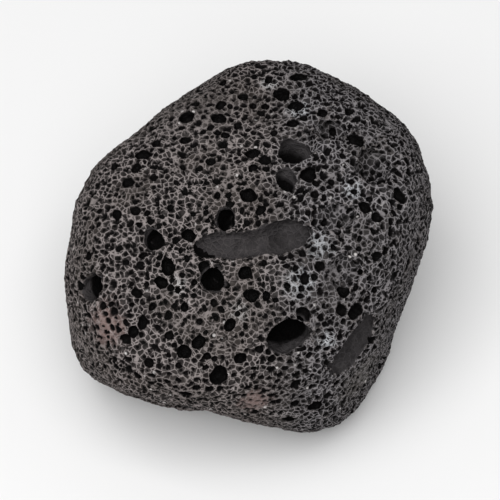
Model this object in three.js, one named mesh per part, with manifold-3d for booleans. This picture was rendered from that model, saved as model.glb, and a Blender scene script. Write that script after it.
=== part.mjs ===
// Lava rock: one loose lump of vesicular basalt that a hand closes round, blocky with worn-round
// edges, lying on its flattest side. It froze as one piece, so it is one solid.
// Millimetres, +Z up. The origin is on the ground under the middle of the stone's box, and the broad
// face that carries the largest open gas bubbles looks towards -Y and up.
import * as THREE from "three";
import { ImprovedNoise } from "three/addons/math/ImprovedNoise.js";
import { mergeVertices } from "three/addons/utils/BufferGeometryUtils.js";
import Module from "manifold-3d";

// The stone's broad face looks up by this angle, and its girdle, the widest belt, stands square to it.
const FACE_LIFT = 55;
// The higher this power, the tighter the round edges between the stone's faces.
const EDGE_TIGHTNESS = 11;
// Height of the stone's middle above the flat side that it lies on.
const SEAT_DEPTH = 19.9;
// The skin has 20 * (SKIN_DETAIL + 1)^2 triangles before the bubbles are cut, and each bubble
// 20 * (BUBBLE_DETAIL + 1)^2.
const SKIN_DETAIL = 14;
const BUBBLE_DETAIL = 2;
// Corners nearer than this are one corner.
const WELD = 1e-5;

// The worn faces: bearing runs round the girdle from +X towards its upper end, lean rises from the
// girdle towards the broad face, and reach is the face's distance from the stone's middle.
const FACES = [
  { bearing: 8, lean: 0, reach: 29.6 },
  { bearing: 34, lean: 0, reach: 30.5 },
  { bearing: 66, lean: 0, reach: 31.9 },
  { bearing: 92, lean: 0, reach: 30.5 },
  { bearing: 121, lean: 0, reach: 24.0 },
  { bearing: 154, lean: 0, reach: 26.5 },
  { bearing: 184, lean: 0, reach: 27.0 },
  { bearing: 216, lean: 0, reach: 34.1 },
  { bearing: 256, lean: 0, reach: 24.0 },
  { bearing: 290, lean: 0, reach: 29.0 },
  { bearing: 338, lean: 0, reach: 24.4 },
  { bearing: 0, lean: 90, reach: 22.6 },
  { bearing: 90, lean: 55, reach: 20.8 },
  { bearing: 350, lean: 36, reach: 28.6 },
  { bearing: 50, lean: 40, reach: 28.0 },
  { bearing: 150, lean: 42, reach: 27.8 },
  { bearing: 205, lean: 40, reach: 30.8 },
  { bearing: 275, lean: 40, reach: 29.0 },
  { bearing: 315, lean: 42, reach: 26.4 },
  { bearing: 270, lean: -55, reach: 19.8 },
  { bearing: 5, lean: -45, reach: 25.0 },
  { bearing: 75, lean: -30, reach: 28.5 },
  { bearing: 115, lean: -70, reach: 25.0 },
  { bearing: 170, lean: -45, reach: 24.0 },
];

// Broad swells and dents of the skin: size across and height of each set.
const SWELLS = [
  { across: 17, height: 1.9 },
  { across: 7.5, height: 0.55 },
];

// The largest gas bubbles that the worn skin has opened: bearing and lean as for the faces, the size
// of the mouth along and across, how deep it goes, and how far its length is turned.
const HOLLOWS = [
  // On the broad face.
  { bearing: 154, lean: 83, length: 12.2, width: 3.8, depth: 1.2, turn: 4 },
  { bearing: 26, lean: 76, length: 8.8, width: 4.2, depth: 1.5, turn: 10 },
  { bearing: 296, lean: 59, length: 6.2, width: 5.2, depth: 3.4, turn: 10 },
  { bearing: 216, lean: 74, length: 3.3, width: 3.2, depth: 2.6, turn: 0 },
  { bearing: 122, lean: 73, length: 3.0, width: 2.7, depth: 2.2, turn: 80 },
  { bearing: 172, lean: 57, length: 2.9, width: 2.8, depth: 2.2, turn: 0 },
  { bearing: 192, lean: 40, length: 4.6, width: 3.8, depth: 3.2, turn: 20 },
  { bearing: 319, lean: 39, length: 9.8, width: 5.0, depth: 1.6, turn: 60 },
  { bearing: 65, lean: 42, length: 4.8, width: 4.2, depth: 2.2, turn: 20 },
  { bearing: 34, lean: 34, length: 6.0, width: 4.6, depth: 1.8, turn: 80 },
  { bearing: 55, lean: 30, length: 4.2, width: 3.6, depth: 1.6, turn: 10 },
  { bearing: 23, lean: 56, length: 6.4, width: 3.6, depth: 1.1, turn: 12 },
  { bearing: 62, lean: 56, length: 3.8, width: 2.6, depth: 1.4, turn: 85 },
  { bearing: 349, lean: 58, length: 6.8, width: 5.0, depth: 0.8, turn: 20 },
  // Round the girdle and behind it.
  { bearing: 6, lean: -14, length: 6.2, width: 4.4, depth: 2.0, turn: 75 },
  { bearing: 348, lean: -32, length: 4.4, width: 3.8, depth: 2.4, turn: 0 },
  { bearing: 36, lean: -10, length: 4.2, width: 3.8, depth: 2.6, turn: 30 },
  { bearing: 84, lean: 4, length: 4.6, width: 3.8, depth: 2.2, turn: 0 },
  { bearing: 66, lean: -30, length: 5.0, width: 4.2, depth: 2.8, turn: 50 },
  { bearing: 102, lean: -26, length: 9.0, width: 4.6, depth: 1.5, turn: 12 },
  { bearing: 130, lean: -8, length: 4.0, width: 3.4, depth: 2.2, turn: 40 },
  { bearing: 172, lean: -8, length: 4.4, width: 3.8, depth: 2.4, turn: 90 },
  { bearing: 186, lean: -34, length: 7.0, width: 4.4, depth: 1.6, turn: 70 },
  { bearing: 208, lean: -6, length: 4.2, width: 4.0, depth: 2.6, turn: 0 },
  { bearing: 248, lean: 8, length: 4.8, width: 3.4, depth: 2.0, turn: 15 },
  { bearing: 292, lean: 4, length: 5.2, width: 4.0, depth: 2.2, turn: 160 },
  { bearing: 320, lean: -6, length: 4.0, width: 3.6, depth: 2.4, turn: 0 },
  { bearing: 90, lean: -62, length: 5.6, width: 4.6, depth: 2.4, turn: 30 },
  { bearing: 20, lean: -62, length: 6.4, width: 4.0, depth: 1.6, turn: 100 },
  { bearing: 150, lean: -66, length: 4.2, width: 3.8, depth: 2.6, turn: 0 },
];

const radians = THREE.MathUtils.degToRad;
const FACE_OUT = new THREE.Vector3(0, -Math.cos(radians(FACE_LIFT)), Math.sin(radians(FACE_LIFT)));
const GIRDLE_UP = new THREE.Vector3(0, Math.sin(radians(FACE_LIFT)), Math.cos(radians(FACE_LIFT)));
const GIRDLE_RIGHT = new THREE.Vector3(1, 0, 0);

// The direction at a bearing round the girdle and a lean towards the broad face.
function direction({ bearing, lean }) {
  const along = Math.cos(radians(lean));
  return new THREE.Vector3()
    .addScaledVector(GIRDLE_RIGHT, along * Math.cos(radians(bearing)))
    .addScaledVector(GIRDLE_UP, along * Math.sin(radians(bearing)))
    .addScaledVector(FACE_OUT, Math.sin(radians(lean)));
}

const faceNormals = FACES.map(direction);

// Distance from the stone's middle to its skin along a unit direction, before the swells: the faces
// are blended by a power mean, which rounds the edges where they meet.
function faceReach(out) {
  const sum = FACES.reduce((total, { reach }, i) => {
    const share = Math.max(0, out.dot(faceNormals[i])) / reach;
    return total + share ** EDGE_TIGHTNESS;
  }, 0);
  return sum ** (-1 / EDGE_TIGHTNESS);
}

const noise = new ImprovedNoise();
// Each set of swells samples the noise round a place of its own.
const NOISE_PLACE = new THREE.Vector3(0, 2.1, 4.7);
const NOISE_STEP = new THREE.Vector3(7.3, 0, 0);

// Height of the swells at a point of the skin.
function swell(at) {
  return SWELLS.reduce((total, { across, height }, i) => {
    const place = at.clone().divideScalar(across).add(NOISE_PLACE).addScaledVector(NOISE_STEP, i);
    return total + height * noise.noise(place.x, place.y, place.z);
  }, 0);
}

// The point of the skin in a unit direction from the stone's middle. The lowest part is worn flat.
function skinPoint(out) {
  const at = out.clone().multiplyScalar(faceReach(out));
  at.addScaledVector(out, swell(at));
  at.z = Math.max(at.z, -SEAT_DEPTH);
  return at;
}

// A sphere of near-equal triangles with shared corners, each corner moved by a function.
function ball(detail, place) {
  const made = new THREE.IcosahedronGeometry(1, detail);
  made.deleteAttribute("normal");
  made.deleteAttribute("uv");
  const merged = mergeVertices(made, WELD);
  const corners = merged.attributes.position;
  const out = new THREE.Vector3();
  for (let i = 0; i < corners.count; i++) {
    const at = place(out.fromBufferAttribute(corners, i).normalize());
    corners.setXYZ(i, at.x, at.y, at.z);
  }
  return merged;
}

// The egg-shaped bubble whose widest section is a hollow's mouth.
function bubble(hollow) {
  const out = direction(hollow);
  const half = new THREE.Vector3(hollow.length / 2, hollow.width / 2, hollow.depth);
  const lie = new THREE.Matrix4().makeBasis(GIRDLE_RIGHT, GIRDLE_UP, FACE_OUT);
  const turn = new THREE.Matrix4().makeRotationZ(radians(hollow.turn));
  const tilt = new THREE.Quaternion().setFromUnitVectors(FACE_OUT, out);
  const place = new THREE.Matrix4().makeRotationFromQuaternion(tilt).multiply(lie).multiply(turn);
  place.scale(half).setPosition(skinPoint(out));
  return ball(BUBBLE_DETAIL, (at) => at.clone().applyMatrix4(place));
}

const wasm = await Module();
wasm.setup();

// A closed shape, ready to be cut.
function toSolid(shape) {
  const mesh = new wasm.Mesh({
    numProp: 3,
    vertProperties: new Float32Array(shape.attributes.position.array),
    triVerts: new Uint32Array(shape.index.array),
  });
  return new wasm.Manifold(mesh);
}

// The shape of a cut solid.
function toShape(solid) {
  const mesh = solid.getMesh();
  const shape = new THREE.BufferGeometry();
  shape.setAttribute("position", new THREE.BufferAttribute(mesh.vertProperties, mesh.numProp));
  shape.setIndex(new THREE.BufferAttribute(mesh.triVerts, 1));
  shape.computeVertexNormals();
  return shape;
}

// Moves a shape so that the origin is on the ground under the middle of its box.
function standOnOrigin(shape) {
  shape.computeBoundingBox();
  const middle = shape.boundingBox.getCenter(new THREE.Vector3());
  return shape.translate(-middle.x, -middle.y, -shape.boundingBox.min.z);
}

function openedStone() {
  const skin = toSolid(ball(SKIN_DETAIL, skinPoint));
  const opened = HOLLOWS.reduce((stone, hollow) => stone.subtract(toSolid(bubble(hollow))), skin);
  return standOnOrigin(toShape(opened));
}

const lavaRock = new THREE.Mesh(
  openedStone(),
  new THREE.MeshStandardMaterial({ color: 0x3f3b3a, roughness: 0.9, metalness: 0 }),
);
lavaRock.name = "lava_rock";

const part = new THREE.Group();
part.add(lavaRock);
export default part;
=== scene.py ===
"""Lava rock: one loose lump of vesicular basalt, with the gas bubbles that its worn skin has opened.

The CAD stone gives the size and the form. Its skin is roughened, the large hollows and thousands of
smaller bubbles are cut into it, and the result is one closed mesh that rides in the stone's place.
"""
import bisect
import math
import random
from itertools import product

import bmesh
import bpy
from mathutils import Matrix, Quaternion, Vector, noise
from mathutils.bvhtree import BVHTree


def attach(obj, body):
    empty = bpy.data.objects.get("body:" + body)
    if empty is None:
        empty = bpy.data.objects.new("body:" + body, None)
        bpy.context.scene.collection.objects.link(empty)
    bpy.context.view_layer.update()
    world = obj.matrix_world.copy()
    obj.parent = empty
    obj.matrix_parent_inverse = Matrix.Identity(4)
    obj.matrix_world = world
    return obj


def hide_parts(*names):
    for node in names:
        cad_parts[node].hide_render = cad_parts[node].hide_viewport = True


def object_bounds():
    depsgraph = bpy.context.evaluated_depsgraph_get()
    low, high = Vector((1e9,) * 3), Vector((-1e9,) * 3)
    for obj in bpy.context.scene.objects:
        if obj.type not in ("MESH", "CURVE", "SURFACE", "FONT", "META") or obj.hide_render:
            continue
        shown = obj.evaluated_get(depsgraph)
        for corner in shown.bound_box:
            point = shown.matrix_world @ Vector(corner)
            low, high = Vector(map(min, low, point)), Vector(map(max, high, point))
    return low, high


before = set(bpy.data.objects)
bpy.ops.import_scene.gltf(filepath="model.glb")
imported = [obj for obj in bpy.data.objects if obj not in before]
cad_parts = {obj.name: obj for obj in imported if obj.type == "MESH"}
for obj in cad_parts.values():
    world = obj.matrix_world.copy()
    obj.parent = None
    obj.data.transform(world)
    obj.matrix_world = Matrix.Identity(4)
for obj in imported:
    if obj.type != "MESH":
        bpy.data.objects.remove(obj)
cad_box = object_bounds()

MM = 0.001
# Every random draw is made here, in one order.
draw = random.Random(41)

# ---- the stone's own directions -------------------------------------------------------------------

# The broad face looks up by this angle, and the girdle stands square to it.
FACE_LIFT = math.radians(55)
FACE_OUT = Vector((0, -math.cos(FACE_LIFT), math.sin(FACE_LIFT)))
GIRDLE_UP = Vector((0, math.sin(FACE_LIFT), math.cos(FACE_LIFT)))
GIRDLE_RIGHT = Vector((1, 0, 0))
# The point that bearings and leans are taken from, and how many millimetres from it is well outside.
MIDDLE = Vector((-0.35, -0.24, 19.9)) * MM
OUTSIDE = 60

# ---- the open bubbles -----------------------------------------------------------------------------

# The large hollows, as in the CAD stone: bearing round the girdle and lean towards the broad face in
# degrees, then the mouth's length and width, the depth in millimetres, and the turn of the length.
HOLLOWS = [
    (154, 83, 12.2, 3.8, 1.2, 4),
    (26, 76, 8.8, 4.2, 1.5, 10),
    (296, 59, 6.2, 5.2, 3.4, 10),
    (216, 74, 3.3, 3.2, 2.6, 0),
    (122, 73, 3.0, 2.7, 2.2, 80),
    (172, 57, 2.9, 2.8, 2.2, 0),
    (192, 40, 4.6, 3.8, 3.2, 20),
    (319, 39, 9.8, 5.0, 1.6, 60),
    (65, 42, 4.8, 4.2, 2.2, 20),
    (34, 34, 6.0, 4.6, 1.8, 80),
    (55, 30, 4.2, 3.6, 1.6, 10),
    (23, 56, 6.4, 3.6, 1.1, 12),
    (62, 56, 3.8, 2.6, 1.4, 85),
    (349, 58, 6.8, 5.0, 0.8, 20),
    (6, -14, 6.2, 4.4, 2.0, 75),
    (348, -32, 4.4, 3.8, 2.4, 0),
    (36, -10, 4.2, 3.8, 2.6, 30),
    (84, 4, 4.6, 3.8, 2.2, 0),
    (66, -30, 5.0, 4.2, 2.8, 50),
    (102, -26, 9.0, 4.6, 1.5, 12),
    (130, -8, 4.0, 3.4, 2.2, 40),
    (172, -8, 4.4, 3.8, 2.4, 90),
    (186, -34, 7.0, 4.4, 1.6, 70),
    (208, -6, 4.2, 4.0, 2.6, 0),
    (248, 8, 4.8, 3.4, 2.0, 15),
    (292, 4, 5.2, 4.0, 2.2, 160),
    (320, -6, 4.0, 3.6, 2.4, 0),
    (90, -62, 5.6, 4.6, 2.4, 30),
    (20, -62, 6.4, 4.0, 1.6, 100),
    (150, -66, 4.2, 3.8, 2.6, 0),
]
# A small hollow that joins the first two into one long dish.
BRIDGE = (52, 85, 7.6, 3.6, 1.2, 8)
# The hollows, by their place in the list, that small bubbles pit; the others have smooth walls.
PITTED = (9, 10, 11, 13)
# How dull a pitted hollow's wall is, where a smooth one's is 1.
PITTED_DULL = 0.42
# Each hollow is cut a little wider than in the CAD stone, so that it swallows that one's rim.
HOLLOW_GROWTH = 1.08

# Smaller round holes with a place of their own on the broad face: bearing and lean in degrees, and the
# mouth's width in millimetres.
ROUND_HOLES = [
    (162, 67, 2.1),
    (263, 83, 1.9),
    (257, 51, 2.6),
    (329, 54, 2.0),
    (313, 63, 2.0),
    (47, 32, 2.4),
    (78, 20, 2.3),
    (74, 14, 2.2),
    (72, 24, 1.9),
    (71, 32, 1.9),
    (102, 29, 2.1),
    (100, 24, 1.5),
    (114, 26, 2.2),
    (87, 46, 1.7),
    (80, 49, 1.7),
    (53, 51, 2.1),
    (22, 47, 1.7),
    (21, 35, 2.1),
    (136, 35, 1.9),
    (197, 74, 1.8),
    (198, 60, 1.8),
    (340, 56, 1.8),
    (294, 27, 2.0),
    (290, 42, 1.9),
    (266, 56, 1.8),
    (256, 66, 1.8),
    (241, 58, 1.7),
    (237, 54, 1.8),
    (214, 49, 1.7),
    (215, 46, 1.5),
    (213, 52, 1.6),
]

# Bubbles thrown at random: how many at most, smallest and largest mouth width in millimetres, how many
# tries, and the nearest that two mouths' middles come as a share of their radii together.
BUBBLE_SIZES = [
    (26, 1.8, 2.3, 2500, 1.2),
    (230, 1.15, 1.6, 9000, 1.15),
    (4400, 0.7, 1.1, 60000, 1.12),
]
# Above 1, more of the thrown bubbles are near their smallest size.
SMALL_SHARE = 1.5
# Nearest that a mouth's middle comes to a large hollow's wall, as a share of the mouth's radius.
WALL_GAP = 0.7
# Half length, width and depth of a smaller bubble, from least to most, as shares of its mouth's radius.
BUBBLE_HALVES = [(0.95, 1.3), (0.8, 1.05), (0.75, 1.3)]
# How far a bubble's middle is below the skin, as a share of its mouth's radius.
ROUND_HOLE_SUNK = 0.3
LEAST_SUNK, MOST_SUNK = -0.35, 0.5
# How finely a bubble's ball is divided, and how it is bent out of round: size across and height of
# each set of bends.
HOLLOW_DETAIL = 5
HOLLOW_BENDS = [(3.5 * MM, 1.2 * MM), (1.4 * MM, 0.75 * MM)]
BUBBLE_DETAIL = 3
BUBBLE_BENDS = [(1.6 * MM, 0.6 * MM), (0.8 * MM, 0.28 * MM)]
# Bubbles that are cut together are kept apart as if each reached this many times as far.
APART = 1.02
# A wall's look fades out over this distance from it.
WALL_REACH = 0.25 * MM
# A hollow deeper than this, as a share of its lesser half width, gets its painted shade black nearer its
# rim.
NARROW = 1.1

# ---- the skin -------------------------------------------------------------------------------------

# Corners of the CAD stone nearer than this are one corner.
WELD = 0.001 * MM
# Size of the skin's faces, and how many times it is rubbed smooth: before the large hollows are cut,
# after that, and after the smaller bubbles are cut.
ROUNDED_SKIN = (0.5 * MM, 10)
HOLLOWED_SKIN = (0.3 * MM, 2)
OPENED_SKIN = (0.165 * MM, 1)
# Lumps of the skin before and after the bubbles are cut: size across, height and shift of each set.
LUMPS = [(6 * MM, 0.35 * MM, 3.0), (2.2 * MM, 0.22 * MM, 9.0)]
GRAIN = [(1.1 * MM, 0.14 * MM, 2.0), (0.45 * MM, 0.13 * MM, 5.0)]
# The skin sinks by this share of each set's height, to stay within the CAD stone's box.
LUMP_SINK = 0.3
# Most triangles of the finished skin.
MOST_TRIANGLES = 199000

# Tinted places of the skin: bearing and lean in degrees, size across, strength and colour. The pale patch
# near the top is painted light that brightens it.
PINK = (0.225, 0.160, 0.148, 1)
BROWN = (0.19, 0.165, 0.145, 1)
# Painted light: a paler colour laid near the top of the stone.
PAINTED_TOP_LIGHT = (0.125, 0.112, 0.108, 1)
TINTS = [
    (207, 43, 8.5 * MM, 0.85, PINK),
    (273, 39, 6.5 * MM, 0.8, PINK),
    (312, 18, 13.0 * MM, 0.5, BROWN),
    (112, 22, 20.0 * MM, 0.3, PAINTED_TOP_LIGHT),
]
# Painted highlight flecks, where the septa and grains are made pale: bearing and lean in degrees, and size
# across.
HIGHLIGHT_FLECKS = [
    (32, 46, 4.0 * MM),
    (330, 70, 6.0 * MM),
    (83, 16, 3.2 * MM),
    (313, 51, 3.6 * MM),
    (6, 65, 5.0 * MM),
    (70, 25, 4.5 * MM),
    (204, 64, 3.6 * MM),
    (262, 71, 4.0 * MM),
]


def direction(bearing, lean):
    """The unit direction at a bearing round the girdle and a lean towards the broad face."""
    b, l = math.radians(bearing), math.radians(lean)
    level = GIRDLE_RIGHT * math.cos(b) + GIRDLE_UP * math.sin(b)
    return level * math.cos(l) + FACE_OUT * math.sin(l)


def skin_point(tree, bearing, lean):
    """The point of a skin in a direction from the stone's middle, and the skin's normal there."""
    out = direction(bearing, lean)
    return tree.ray_cast(MIDDLE + out * OUTSIDE * MM, -out)[:2]


# ---- working on a mesh ----------------------------------------------------------------------------

def finish_modifiers(piece):
    """Turns a piece's modifiers into its mesh."""
    shaped = bpy.data.meshes.new_from_object(piece.evaluated_get(bpy.context.evaluated_depsgraph_get()))
    rough = piece.data
    piece.modifiers.clear()
    piece.data = shaped
    bpy.data.meshes.remove(rough)


def reskin(piece, grain, rounds):
    """Gives a piece an even skin of small faces, then rubs it smooth a number of rounds."""
    skin = piece.modifiers.new("skin", "REMESH")
    skin.mode = "VOXEL"
    skin.voxel_size = grain
    if rounds:
        rub = piece.modifiers.new("rub", "SMOOTH")
        rub.factor = 0.5
        rub.iterations = rounds
    finish_modifiers(piece)


def roughen(piece, lumps):
    """Moves the skin in and out along its normals by lumps, each a size across, a height and a shift."""
    points = []
    for v in piece.data.vertices:
        height = sum(
            high * (noise.noise(v.co / across + Vector((shift, shift, shift))) - LUMP_SINK)
            for across, high, shift in lumps
        )
        point = v.co + v.normal * height
        point.z = max(point.z, 0.0)
        points.extend(point)
    piece.data.vertices.foreach_set("co", points)
    piece.data.update()


def skin_tree(piece):
    """A search tree of a piece's faces."""
    return BVHTree.FromObject(piece, bpy.context.evaluated_depsgraph_get())


# ---- gas bubbles ----------------------------------------------------------------------------------

class Bubble:
    """An egg-shaped bubble: its middle, its half sizes and the turn that lays it in the stone."""

    def __init__(self, middle, half, turn):
        self.middle = middle
        self.half = half
        self.turn = turn
        self.reach = max(half)


class Crowd:
    """Round things in space, kept in cells so that near ones are found quickly."""

    CELL = 4 * MM

    def __init__(self):
        self.cells = {}

    def cell(self, point):
        """The cell that a point is in."""
        return tuple(int(c // self.CELL) for c in point)

    def add(self, point, radius):
        self.cells.setdefault(self.cell(point), []).append((point, radius))

    def near(self, point, radius, apart):
        """Whether a round thing would come nearer another than a share of their radii together. It
        looks no further than the next cells."""
        x, y, z = self.cell(point)
        for i, j, k in product((-1, 0, 1), repeat=3):
            for other, size in self.cells.get((x + i, y + j, z + k), ()):
                if (other - point).length < (radius + size) * apart:
                    return True
        return False


def hollow_bubble(tree, hollow):
    """The bubble of a large hollow, with its widest section at the skin."""
    bearing, lean, length, width, depth, turn = hollow
    out = direction(bearing, lean)
    mouth = skin_point(tree, bearing, lean)[0]
    basis = Matrix((GIRDLE_RIGHT, GIRDLE_UP, FACE_OUT)).transposed().to_quaternion()
    lie = FACE_OUT.rotation_difference(out) @ basis @ Quaternion((0, 0, 1), math.radians(turn))
    half = Vector((length / 2, width / 2, depth)) * HOLLOW_GROWTH * MM
    return Bubble(mouth, half, lie)


def sunk_bubble(mouth, normal, radius, sunk):
    """A bubble behind a mouth, sunk below the skin by a share of its radius."""
    turn = normal.to_track_quat("Z", "Y") @ Quaternion((0, 0, 1), draw.uniform(0, math.tau))
    half = Vector([draw.uniform(least, most) for least, most in BUBBLE_HALVES]) * radius
    return Bubble(mouth - normal * (sunk * radius), half, turn)


def skin_sampler(piece):
    """A function that draws points evenly over a piece's skin."""
    piece.data.calc_loop_triangles()
    triangles = [tuple(t.vertices) for t in piece.data.loop_triangles]
    points = [v.co.copy() for v in piece.data.vertices]
    ladder, total = [], 0.0
    for triangle in piece.data.loop_triangles:
        total += triangle.area
        ladder.append(total)

    def sample():
        a, b, c = triangles[min(bisect.bisect_left(ladder, draw.random() * total), len(triangles) - 1)]
        along, across = draw.random(), draw.random()
        if along + across > 1:
            along, across = 1 - along, 1 - across
        return points[a] + (points[b] - points[a]) * along + (points[c] - points[a]) * across

    return sample


def throw_bubbles(piece, walls):
    """Throws the smaller bubbles at the skin, the widest first, clear of the large hollows' walls."""
    tree, sample, mouths, thrown = skin_tree(piece), skin_sampler(piece), Crowd(), []
    for bearing, lean, width in ROUND_HOLES:
        mouth, normal = skin_point(tree, bearing, lean)
        mouths.add(mouth, width / 2 * MM)
        thrown.append(sunk_bubble(mouth, normal, width / 2 * MM, ROUND_HOLE_SUNK))
    for most, smallest, largest, tries, apart in BUBBLE_SIZES:
        made = 0
        for _ in range(tries):
            point = sample()
            radius = (smallest + (largest - smallest) * draw.random() ** SMALL_SHARE) / 2 * MM
            if mouths.near(point, radius, apart) or wall_distance(walls, point) < radius * WALL_GAP:
                continue
            mouths.add(point, radius)
            normal = tree.find_nearest(point)[1]
            thrown.append(sunk_bubble(point, normal, radius, draw.uniform(LEAST_SUNK, MOST_SUNK)))
            made += 1
            if made == most:
                break
    return thrown


def wall_distance(walls, point):
    """How far a point is from the nearest wall of a large hollow."""
    return min(wall.find_nearest(point)[3] for wall in walls)


def apart_groups(bubbles):
    """Sorts bubbles into groups. In a group only large ones can touch, whose middles lie more than a
    cell apart."""
    groups = []
    for bubble in bubbles:
        reach = bubble.reach * APART
        group = next((g for g in groups if not g[0].near(bubble.middle, reach, 1.0)), None)
        if group is None:
            group = (Crowd(), [])
            groups.append(group)
        group[0].add(bubble.middle, reach)
        group[1].append(bubble)
    return [members for _, members in groups]


def bubble_maker(detail, bends):
    """A node group that sets a ball on each point and bends the whole crowd by noise."""
    tree = bpy.data.node_groups.new("blow_bubbles", "GeometryNodeTree")
    tree.interface.new_socket("Geometry", in_out="INPUT", socket_type="NodeSocketGeometry")
    tree.interface.new_socket("Geometry", in_out="OUTPUT", socket_type="NodeSocketGeometry")
    add, link = tree.nodes.new, tree.links.new
    start, end = add("NodeGroupInput"), add("NodeGroupOutput")
    ball = add("GeometryNodeMeshIcoSphere")
    ball.inputs["Radius"].default_value = 1
    ball.inputs["Subdivisions"].default_value = detail
    setting = add("GeometryNodeInstanceOnPoints")
    link(start.outputs[0], setting.inputs["Points"])
    link(ball.outputs["Mesh"], setting.inputs["Instance"])
    for name, socket in (("turn", "Rotation"), ("half", "Scale")):
        read = add("GeometryNodeInputNamedAttribute")
        read.data_type = "FLOAT_VECTOR"
        read.inputs["Name"].default_value = name
        link(read.outputs["Attribute"], setting.inputs[socket])
    real = add("GeometryNodeRealizeInstances")
    link(setting.outputs[0], real.inputs[0])
    shape = real.outputs[0]
    for across, height in bends:
        place = add("GeometryNodeInputPosition")
        field = add("ShaderNodeTexNoise")
        field.inputs["Scale"].default_value = 1 / across
        field.inputs["Detail"].default_value = 0
        link(place.outputs[0], field.inputs["Vector"])
        centred = add("ShaderNodeVectorMath")
        centred.operation = "SUBTRACT"
        centred.inputs[1].default_value = (0.5, 0.5, 0.5)
        link(field.outputs["Color"], centred.inputs[0])
        sized = add("ShaderNodeVectorMath")
        sized.operation = "SCALE"
        sized.inputs["Scale"].default_value = height
        link(centred.outputs[0], sized.inputs[0])
        shift = add("GeometryNodeSetPosition")
        link(shape, shift.inputs["Geometry"])
        link(sized.outputs[0], shift.inputs["Offset"])
        shape = shift.outputs[0]
    link(shape, end.inputs[0])
    return tree


def cut_bubbles(piece, bubbles, detail, bends, walls=None):
    """Cuts bubbles out of a piece, group by group, and adds search trees of what was cut to walls."""
    maker = bubble_maker(detail, bends)
    for group in apart_groups(bubbles):
        points = bmesh.new()
        half = points.verts.layers.float_vector.new("half")
        turn = points.verts.layers.float_vector.new("turn")
        for bubble in group:
            point = points.verts.new(bubble.middle)
            point[half] = bubble.half
            point[turn] = Vector(bubble.turn.to_euler())
        crowd_mesh = bpy.data.meshes.new("bubbles")
        points.to_mesh(crowd_mesh)
        points.free()
        crowd = bpy.data.objects.new("bubbles", crowd_mesh)
        bpy.context.scene.collection.objects.link(crowd)
        crowd.modifiers.new("blow", "NODES").node_group = maker
        finish_modifiers(crowd)
        if walls is not None:
            walls.append(skin_tree(crowd))
        cut = piece.modifiers.new("open", "BOOLEAN")
        cut.operation = "DIFFERENCE"
        cut.solver = "MANIFOLD"
        cut.object = crowd
        finish_modifiers(piece)
        bpy.data.objects.remove(crowd)
    bpy.data.node_groups.remove(maker)


# ---- the stone ------------------------------------------------------------------------------------

def keep_largest_shell(piece):
    """Deletes crumbs: every shell that isn't joined to the stone."""
    bm = bmesh.new()
    bm.from_mesh(piece.data)
    unseen, shells = set(bm.verts), []
    while unseen:
        seed = unseen.pop()
        shell, edge = [seed], [seed]
        while edge:
            grown = []
            for vert in edge:
                for link in vert.link_edges:
                    other = link.other_vert(vert)
                    if other in unseen:
                        unseen.remove(other)
                        grown.append(other)
            shell.extend(grown)
            edge = grown
        shells.append(shell)
    shells.sort(key=len)
    for crumb in shells[:-1]:
        bmesh.ops.delete(bm, geom=crumb, context="VERTS")
    bm.to_mesh(piece.data)
    bm.free()


def thin_out(piece, triangles):
    """Merges faces where the shape needs them least, down to a number of triangles."""
    piece.data.calc_loop_triangles()
    thin = piece.modifiers.new("thin", "DECIMATE")
    thin.ratio = min(1.0, triangles / len(piece.data.loop_triangles))
    thin.use_collapse_triangulate = True
    finish_modifiers(piece)


def depth_in_hollow(point, hollows):
    """How far down the nearest large hollow a point lies, counted for more in a narrow hollow, where the
    material paints shade.
    """
    home = min(hollows, key=lambda h: (h.middle - point).length_squared)
    narrow = home.half.z / min(home.half[:2])
    below = (home.middle - point).dot((home.middle - MIDDLE).normalized())
    return (below + max(0.0, narrow - NARROW) * MM) * narrow ** 3 / home.half.z


def crest_sharpness(piece):
    """How far each point stands out of its neighbours, as a share of their distance."""
    points = [v.co for v in piece.data.vertices]
    around = [[] for _ in points]
    for a, b in (edge.vertices for edge in piece.data.edges):
        around[a].append(b)
        around[b].append(a)
    sharpness = []
    for v, near in zip(piece.data.vertices, around):
        mean = sum((points[n] for n in near), Vector()) / len(near)
        spread = sum((points[n] - v.co).length for n in near) / len(near)
        sharpness.append((v.co - mean).dot(v.normal) / spread)
    return sharpness


def mark_surface(piece, worn, walls, dull_walls, hollows):
    """Stores on each point how deep it lies below the worn skin in millimetres, how surely it is on a
    large hollow's wall and how far down a deep one, and how sharp a crest it is on."""
    tree = skin_tree(worn)
    pit, wall, sink = [], [], []
    for v in piece.data.vertices:
        nearest, normal = tree.find_nearest(v.co)[:2]
        pit.append(max(0.0, (nearest - v.co).dot(normal)) / MM)
        on_smooth = max(0.0, 1 - wall_distance(walls, nearest) / WALL_REACH)
        on_dull = max(0.0, 1 - wall_distance(dull_walls, nearest) / WALL_REACH) * PITTED_DULL
        wall.append(max(on_smooth, on_dull))
        sink.append(depth_in_hollow(v.co, hollows) if wall[-1] > 0 else 0.0)
    marks = {"pit": pit, "wall": wall, "sink": sink, "crest": crest_sharpness(piece)}
    for name, values in marks.items():
        layer = piece.data.attributes.new(name, "FLOAT", "POINT")
        layer.data.foreach_set("value", values)


def copy_piece(name, mesh):
    """A piece of a name with a copy of a mesh."""
    piece = bpy.data.objects.new(name, mesh.copy())
    bpy.context.scene.collection.objects.link(piece)
    return piece


def weld(piece):
    """Joins corners that lie on each other."""
    bm = bmesh.new()
    bm.from_mesh(piece.data)
    bmesh.ops.remove_doubles(bm, verts=bm.verts, dist=WELD)
    bm.to_mesh(piece.data)
    bm.free()


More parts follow.
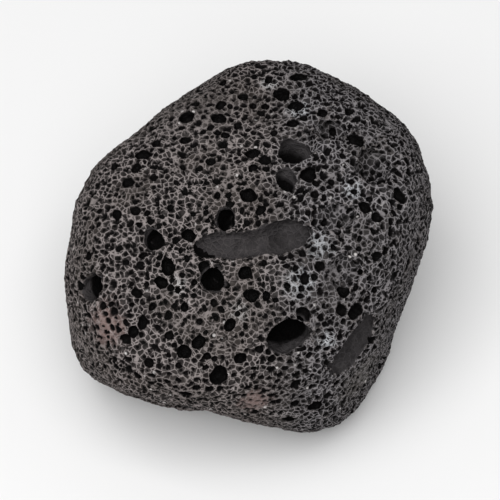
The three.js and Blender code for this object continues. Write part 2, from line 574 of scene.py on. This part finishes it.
def make_stone():
    """The CAD stone, worn round and rough, with every bubble opened, as one closed skin."""
    stone = copy_piece("lava_rock_skin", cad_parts["lava_rock"].data)
    weld(stone)
    reskin(stone, *ROUNDED_SKIN)
    roughen(stone, LUMPS)

    tree = skin_tree(stone)
    hollows = [hollow_bubble(tree, hollow) for hollow in HOLLOWS + [BRIDGE]]
    dull_walls, walls = [], []
    pitted = [hollow for i, hollow in enumerate(hollows) if i in PITTED]
    cut_bubbles(stone, pitted, HOLLOW_DETAIL, HOLLOW_BENDS, dull_walls)
    smooth = [hollow for i, hollow in enumerate(hollows) if i not in PITTED]
    cut_bubbles(stone, smooth, HOLLOW_DETAIL, HOLLOW_BENDS, walls)
    reskin(stone, *HOLLOWED_SKIN)
    worn = copy_piece("worn_skin", stone.data)

    cut_bubbles(stone, throw_bubbles(stone, walls), BUBBLE_DETAIL, BUBBLE_BENDS)
    reskin(stone, *OPENED_SKIN)
    roughen(stone, GRAIN)
    thin_out(stone, MOST_TRIANGLES)
    for v in stone.data.vertices:
        v.co.z = max(v.co.z, 0.0)
    keep_largest_shell(stone)
    mark_surface(stone, worn, walls, dull_walls, hollows)

    bpy.data.objects.remove(worn)
    for polygon in stone.data.polygons:
        polygon.use_smooth = True
    stone.data.materials.clear()
    return stone


# ---- basalt ---------------------------------------------------------------------------------------

# Colours in linear light, and of a pair the darker one first.
WORN = (0.014, 0.0123, 0.012, 1), (0.044, 0.0389, 0.0377, 1)
SEPTUM = (0.258, 0.2275, 0.2215, 1)
# Painted highlight: the pale septa and grains of the highlight flecks.
HIGHLIGHT_SEPTUM = (0.52, 0.503, 0.497, 1)
HIGHLIGHT_GRAIN = (0.50, 0.483, 0.477, 1)
# Crests are lightened towards this: partly worn pale edges, partly a painted highlight.
CREST_WEAR_AND_HIGHLIGHT = (0.235, 0.209, 0.204, 1)
RUST = (0.066, 0.0556, 0.0495, 1)
GRIT = (0.56, 0.533, 0.522, 1)
SMOOTH_WALL = (0.034, 0.0314, 0.0323, 1), (0.055, 0.0507, 0.0521, 1)
# Painted shade: the near-black laid in pores, pinholes and the depths of hollows.
PORE_SHADE = (0.0012, 0.0011, 0.0011, 1), (0.0055, 0.005, 0.005, 1)
# Painted shade: what the worn stone and its septa are multiplied by round the girdle, darkening its sides;
# and what the stone is multiplied by on its right side.
GIRDLE_PAINTED_SHADE = (0.45, 0.45, 0.45, 1)
GIRDLE_SEPTUM_PAINTED_SHADE = (0.82, 0.82, 0.82, 1)
COOL = (0.93, 0.99, 1.05, 1)
# The fine foam's cells: their size across, and how far they are stirred.
FOAM_CELL = 0.8 * MM
FOAM_STIR = 0.4 * MM


class Recipe:
    """Builds a material's nodes."""

    def __init__(self, name):
        self.material = bpy.data.materials.new(name)
        self.material.use_nodes = True
        self.nodes = self.material.node_tree.nodes
        self.links = self.material.node_tree.links
        self.shader = self.nodes["Principled BSDF"]

    def feed(self, socket, value):
        """Links a socket to another's output, or sets its value."""
        if isinstance(value, bpy.types.NodeSocket):
            self.links.new(value, socket)
        else:
            socket.default_value = value

    def node(self, kind, inputs, **settings):
        node = self.nodes.new(kind)
        for name, value in settings.items():
            setattr(node, name, value)
        for name, value in inputs.items():
            self.feed(node.inputs[name], value)
        return node

    def attribute(self, name):
        """What is stored on the points under a name."""
        return self.node("ShaderNodeAttribute", {}, attribute_name=name).outputs["Fac"]

    def place(self):
        """The place in the stone."""
        return self.node("ShaderNodeTexCoord", {}).outputs["Object"]

    def towards(self, way):
        """How far a point lies from the stone's middle in a direction."""
        away = self.node("ShaderNodeVectorMath", {0: self.place(), 1: MIDDLE}, operation="SUBTRACT")
        values = {0: away.outputs[0], 1: way}
        return self.node("ShaderNodeVectorMath", values, operation="DOT_PRODUCT").outputs["Value"]

    def speckle(self, across, detail=2.0, rough=0.5):
        """Noise whose blots are a size across."""
        values = {"Vector": self.place(), "Scale": 1 / across, "Detail": detail, "Roughness": rough}
        return self.node("ShaderNodeTexNoise", values).outputs["Fac"]

    def cells(self, across):
        """Distance to the nearest of a crowd of points, a size apart."""
        values = {"Vector": self.place(), "Scale": 1 / across}
        return self.node("ShaderNodeTexVoronoi", values).outputs["Distance"]

    def blot(self, centre, across):
        """A blot of a size across with a ragged, soft edge."""
        values = {0: self.place(), 1: centre}
        away = self.node("ShaderNodeVectorMath", values, operation="DISTANCE").outputs["Value"]
        ripple = self.math("MULTIPLY", self.speckle(1.2 * MM, 3, 0.7), across * 0.8)
        mottled = self.math("ADD", away, ripple)
        return self.ramp(mottled, across * 0.45, across * 0.9, 1, 0)

    def foam(self):
        """The septa and the open vesicles of a fine foam; the material paints the vesicles with the pores'
        shade.
        """
        values = {"Vector": self.place(), "Scale": 1 / FOAM_CELL, "Detail": 1.0}
        stir = self.node("ShaderNodeTexNoise", values)
        values = {0: stir.outputs["Color"], 1: (FOAM_STIR, FOAM_STIR, FOAM_STIR)}
        shift = self.node("ShaderNodeVectorMath", values, operation="MULTIPLY").outputs[0]
        place = self.node("ShaderNodeVectorMath", {0: self.place(), 1: shift}).outputs[0]
        values = {"Vector": place, "Scale": 1 / FOAM_CELL}
        edge = self.node("ShaderNodeTexVoronoi", values, feature="DISTANCE_TO_EDGE").outputs["Distance"]
        cell = self.node("ShaderNodeTexVoronoi", values)
        chance = self.node("ShaderNodeSeparateColor", {0: cell.outputs["Color"]}).outputs[0]
        septa = self.ramp(edge, 0.03, 0.13, 1, 0)
        middles = self.ramp(cell.outputs["Distance"], 0.24, 0.4, 1, 0)
        vesicles = self.math("MULTIPLY", middles, self.ramp(chance, 0.15, 0.35, 0, 1))
        return septa, vesicles

    def ramp(self, value, low, high, to_low=0.0, to_high=1.0):
        """Turns values from low to high softly into values from to_low to to_high."""
        values = {
            "Value": value, "From Min": low, "From Max": high, "To Min": to_low, "To Max": to_high,
        }
        return self.node("ShaderNodeMapRange", values, interpolation_type="SMOOTHSTEP").outputs["Result"]

    def math(self, operation, a, b):
        return self.node("ShaderNodeMath", {0: a, 1: b}, operation=operation).outputs[0]

    def blend(self, share, under, over, mode="MIX"):
        """Lays a share of one colour over another."""
        node = self.node("ShaderNodeMix", {}, data_type="RGBA", blend_type=mode)
        self.feed(node.inputs["Factor"], share)
        self.feed(node.inputs[6], under)
        self.feed(node.inputs[7], over)
        return node.outputs[2]

    def bump(self, height, strength, distance, normal=None):
        """The normal of a skin that is raised by a height times a distance."""
        values = {"Height": height, "Strength": strength, "Distance": distance}
        if normal:
            values["Normal"] = normal
        return self.node("ShaderNodeBump", values).outputs["Normal"]


def worn_skin(r, skin, septa):
    """The worn stone's colour: dark ground, grey septa, rust and tints, painted highlight flecks, painted
    light near the top, painted shade round the girdle.
    """
    # Painted shade: the stone and its septa are darkened round the girdle, on its sides.
    girdle = r.ramp(r.towards(FACE_OUT), 3 * MM, 14 * MM, 1, 0)
    ground = r.blend(r.ramp(r.speckle(1.4 * MM, 4, 0.75), 0.3, 0.7), *WORN)
    ground = r.blend(girdle, ground, GIRDLE_PAINTED_SHADE, "MULTIPLY")
    # Painted highlight flecks: septa and grains made pale in places.
    highlight_fleck = 0.0
    for bearing, lean, across in HIGHLIGHT_FLECKS:
        blot = r.blot(skin_point(skin, bearing, lean)[0], across)
        highlight_fleck = r.math("MAXIMUM", highlight_fleck, blot)
    grains = r.math("MULTIPLY", highlight_fleck, r.ramp(r.speckle(0.5 * MM, 2, 0.6), 0.48, 0.58, 0, 0.85))
    ground = r.blend(grains, ground, HIGHLIGHT_GRAIN)
    septum = r.blend(highlight_fleck, SEPTUM, HIGHLIGHT_SEPTUM)
    septum = r.blend(girdle, septum, GIRDLE_SEPTUM_PAINTED_SHADE, "MULTIPLY")
    worn = r.blend(septa, ground, septum)
    worn = r.blend(r.ramp(r.speckle(8 * MM), 0.42, 0.62, 0, 0.35), worn, RUST)
    for bearing, lean, across, strength, tint in TINTS:
        blot = r.blot(skin_point(skin, bearing, lean)[0], across)
        worn = r.blend(r.math("MULTIPLY", blot, strength), worn, tint)
    return r.blend(r.ramp(r.towards(GIRDLE_RIGHT), 0.0, 9 * MM), worn, COOL, "MULTIPLY")


def wall_shares(r, wall, sink):
    """Where a large hollow's smooth wall shows, with a ragged edge, and where painted shade turns it black
    with depth.
    """
    ragged = r.math("MULTIPLY", r.speckle(0.9 * MM, 3, 0.7), 0.9)
    smooth = r.ramp(r.math("SUBTRACT", r.math("MULTIPLY", wall, 1.5), ragged), 0.0, 0.5, 0, 0.92)
    deep = r.math("MULTIPLY", r.ramp(wall, 0.2, 0.7), r.ramp(sink, 0.25, 0.95))
    return smooth, deep


def grit_share(r, pit, wall):
    """Pale grains on the worn skin, crowded in places, with none in a bubble."""
    grains = r.ramp(r.cells(1.4 * MM), 0.12, 0.22, 1, 0)
    grains = r.math("MULTIPLY", grains, r.ramp(r.speckle(5 * MM), 0.42, 0.58))
    grains = r.math("MULTIPLY", grains, r.ramp(pit, 0.0, 0.15, 1, 0))
    return r.math("MULTIPLY", grains, r.ramp(wall, 0.0, 0.2, 1, 0))


def basalt(skin):
    """Worn dark basalt: grey septa, crests lightened by wear and a painted highlight, pores and hollow
    depths painted black as shade, faint rust and grit.
    """
    r = Recipe("vesicular_basalt")
    pit, wall = r.attribute("pit"), r.attribute("wall")
    septa, vesicles = r.foam()
    # The pores' painted shade, near-black and faintly mottled.
    pore_shade = r.blend(r.speckle(0.5 * MM), *PORE_SHADE)

    # Crests lightened: partly worn pale edges, partly a painted highlight.
    colour = r.blend(r.ramp(r.attribute("crest"), 0.12, 0.5, 0, 0.55), worn_skin(r, skin, septa), CREST_WEAR_AND_HIGHLIGHT)
    # Painted shade: the fine foam's pinholes take the pores' near-black.
    colour = r.blend(vesicles, colour, pore_shade)
    smooth, deep = wall_shares(r, wall, r.attribute("sink"))
    colour = r.blend(smooth, colour, r.blend(r.speckle(1.3 * MM, 4, 0.6), *SMOOTH_WALL))
    # Painted shade: the depths of large hollows turn black.
    colour = r.blend(deep, colour, pore_shade)
    # Painted shade: bubbles darken to near-black with depth below the worn skin.
    colour = r.blend(r.ramp(pit, 0.05, 0.45), colour, pore_shade)
    colour = r.blend(grit_share(r, pit, wall), colour, GRIT)
    r.feed(r.shader.inputs["Base Color"], colour)

    r.feed(r.shader.inputs["Roughness"], r.ramp(pit, 0.1, 0.5, 0.85, 0.55))
    r.shader.inputs["Specular IOR Level"].default_value = 0.03

    foam = r.bump(r.math("SUBTRACT", septa, vesicles), 0.6, 0.15 * MM)
    grain = r.bump(r.speckle(0.16 * MM, 3, 0.6), 0.6, 0.06 * MM, foam)
    r.feed(r.shader.inputs["Normal"], grain)
    return r.material


# ---- the stage ------------------------------------------------------------------------------------

# Half the floor's side, in metres.
FLOOR_REACH = 3.0
# The camera's lens and sensor in millimetres, and how much it sees across the stone.
LENS = 260
SENSOR = 36
SEEN = 72 * MM


def make_floor():
    """A plain floor of pale paper."""
    bm = bmesh.new()
    bmesh.ops.create_grid(bm, x_segments=1, y_segments=1, size=FLOOR_REACH)
    mesh = bpy.data.meshes.new("floor")
    bm.to_mesh(mesh)
    bm.free()
    floor = bpy.data.objects.new("floor", mesh)
    bpy.context.scene.collection.objects.link(floor)
    r = Recipe("pale_paper")
    r.shader.inputs["Base Color"].default_value = (0.86, 0.86, 0.86, 1)
    r.shader.inputs["Roughness"].default_value = 0.9
    mesh.materials.append(r.material)


def make_light(name, aim, azimuth, lift, away, across, power):
    """A soft square light at an azimuth and a lift in degrees, away from what it is aimed at."""
    a, e = math.radians(azimuth), math.radians(lift)
    back = Vector((math.sin(a) * math.cos(e), -math.cos(a) * math.cos(e), math.sin(e)))
    lamp = bpy.data.lights.new(name, "AREA")
    lamp.shape = "SQUARE"
    lamp.size = across
    lamp.energy = power
    light = bpy.data.objects.new(name, lamp)
    light.location = aim + back * away
    light.rotation_mode = "QUATERNION"
    light.rotation_quaternion = (-back).to_track_quat("-Z", "Y")
    bpy.context.scene.collection.objects.link(light)


def make_world():
    """Even white light from all round."""
    world = bpy.data.worlds.new("studio")
    world.use_nodes = True
    sky = world.node_tree.nodes["Background"]
    sky.inputs["Color"].default_value = (1, 1, 1, 1)
    sky.inputs["Strength"].default_value = 0.33
    bpy.context.scene.world = world
    bpy.context.scene.view_settings.view_transform = "Standard"


def make_camera(aim):
    """Looks down on the stone along +Y, square to its broad face."""
    camera = bpy.data.cameras.new("camera")
    camera.lens = LENS
    camera.sensor_width = SENSOR
    holder = bpy.data.objects.new("camera", camera)
    holder.location = aim + FACE_OUT * (SEEN * camera.lens / camera.sensor_width)
    holder.rotation_mode = "QUATERNION"
    holder.rotation_quaternion = (-FACE_OUT).to_track_quat("-Z", "Y")
    bpy.context.scene.collection.objects.link(holder)
    bpy.context.scene.camera = holder


stone = make_stone()
stone.data.materials.append(basalt(skin_tree(stone)))
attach(stone, "root")
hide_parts("lava_rock")

make_floor()
aim = (cad_box[0] + cad_box[1]) / 2
make_light("overhead", aim, azimuth=-18, lift=65, away=0.85, across=0.75, power=8.1)
make_world()
make_camera(aim)
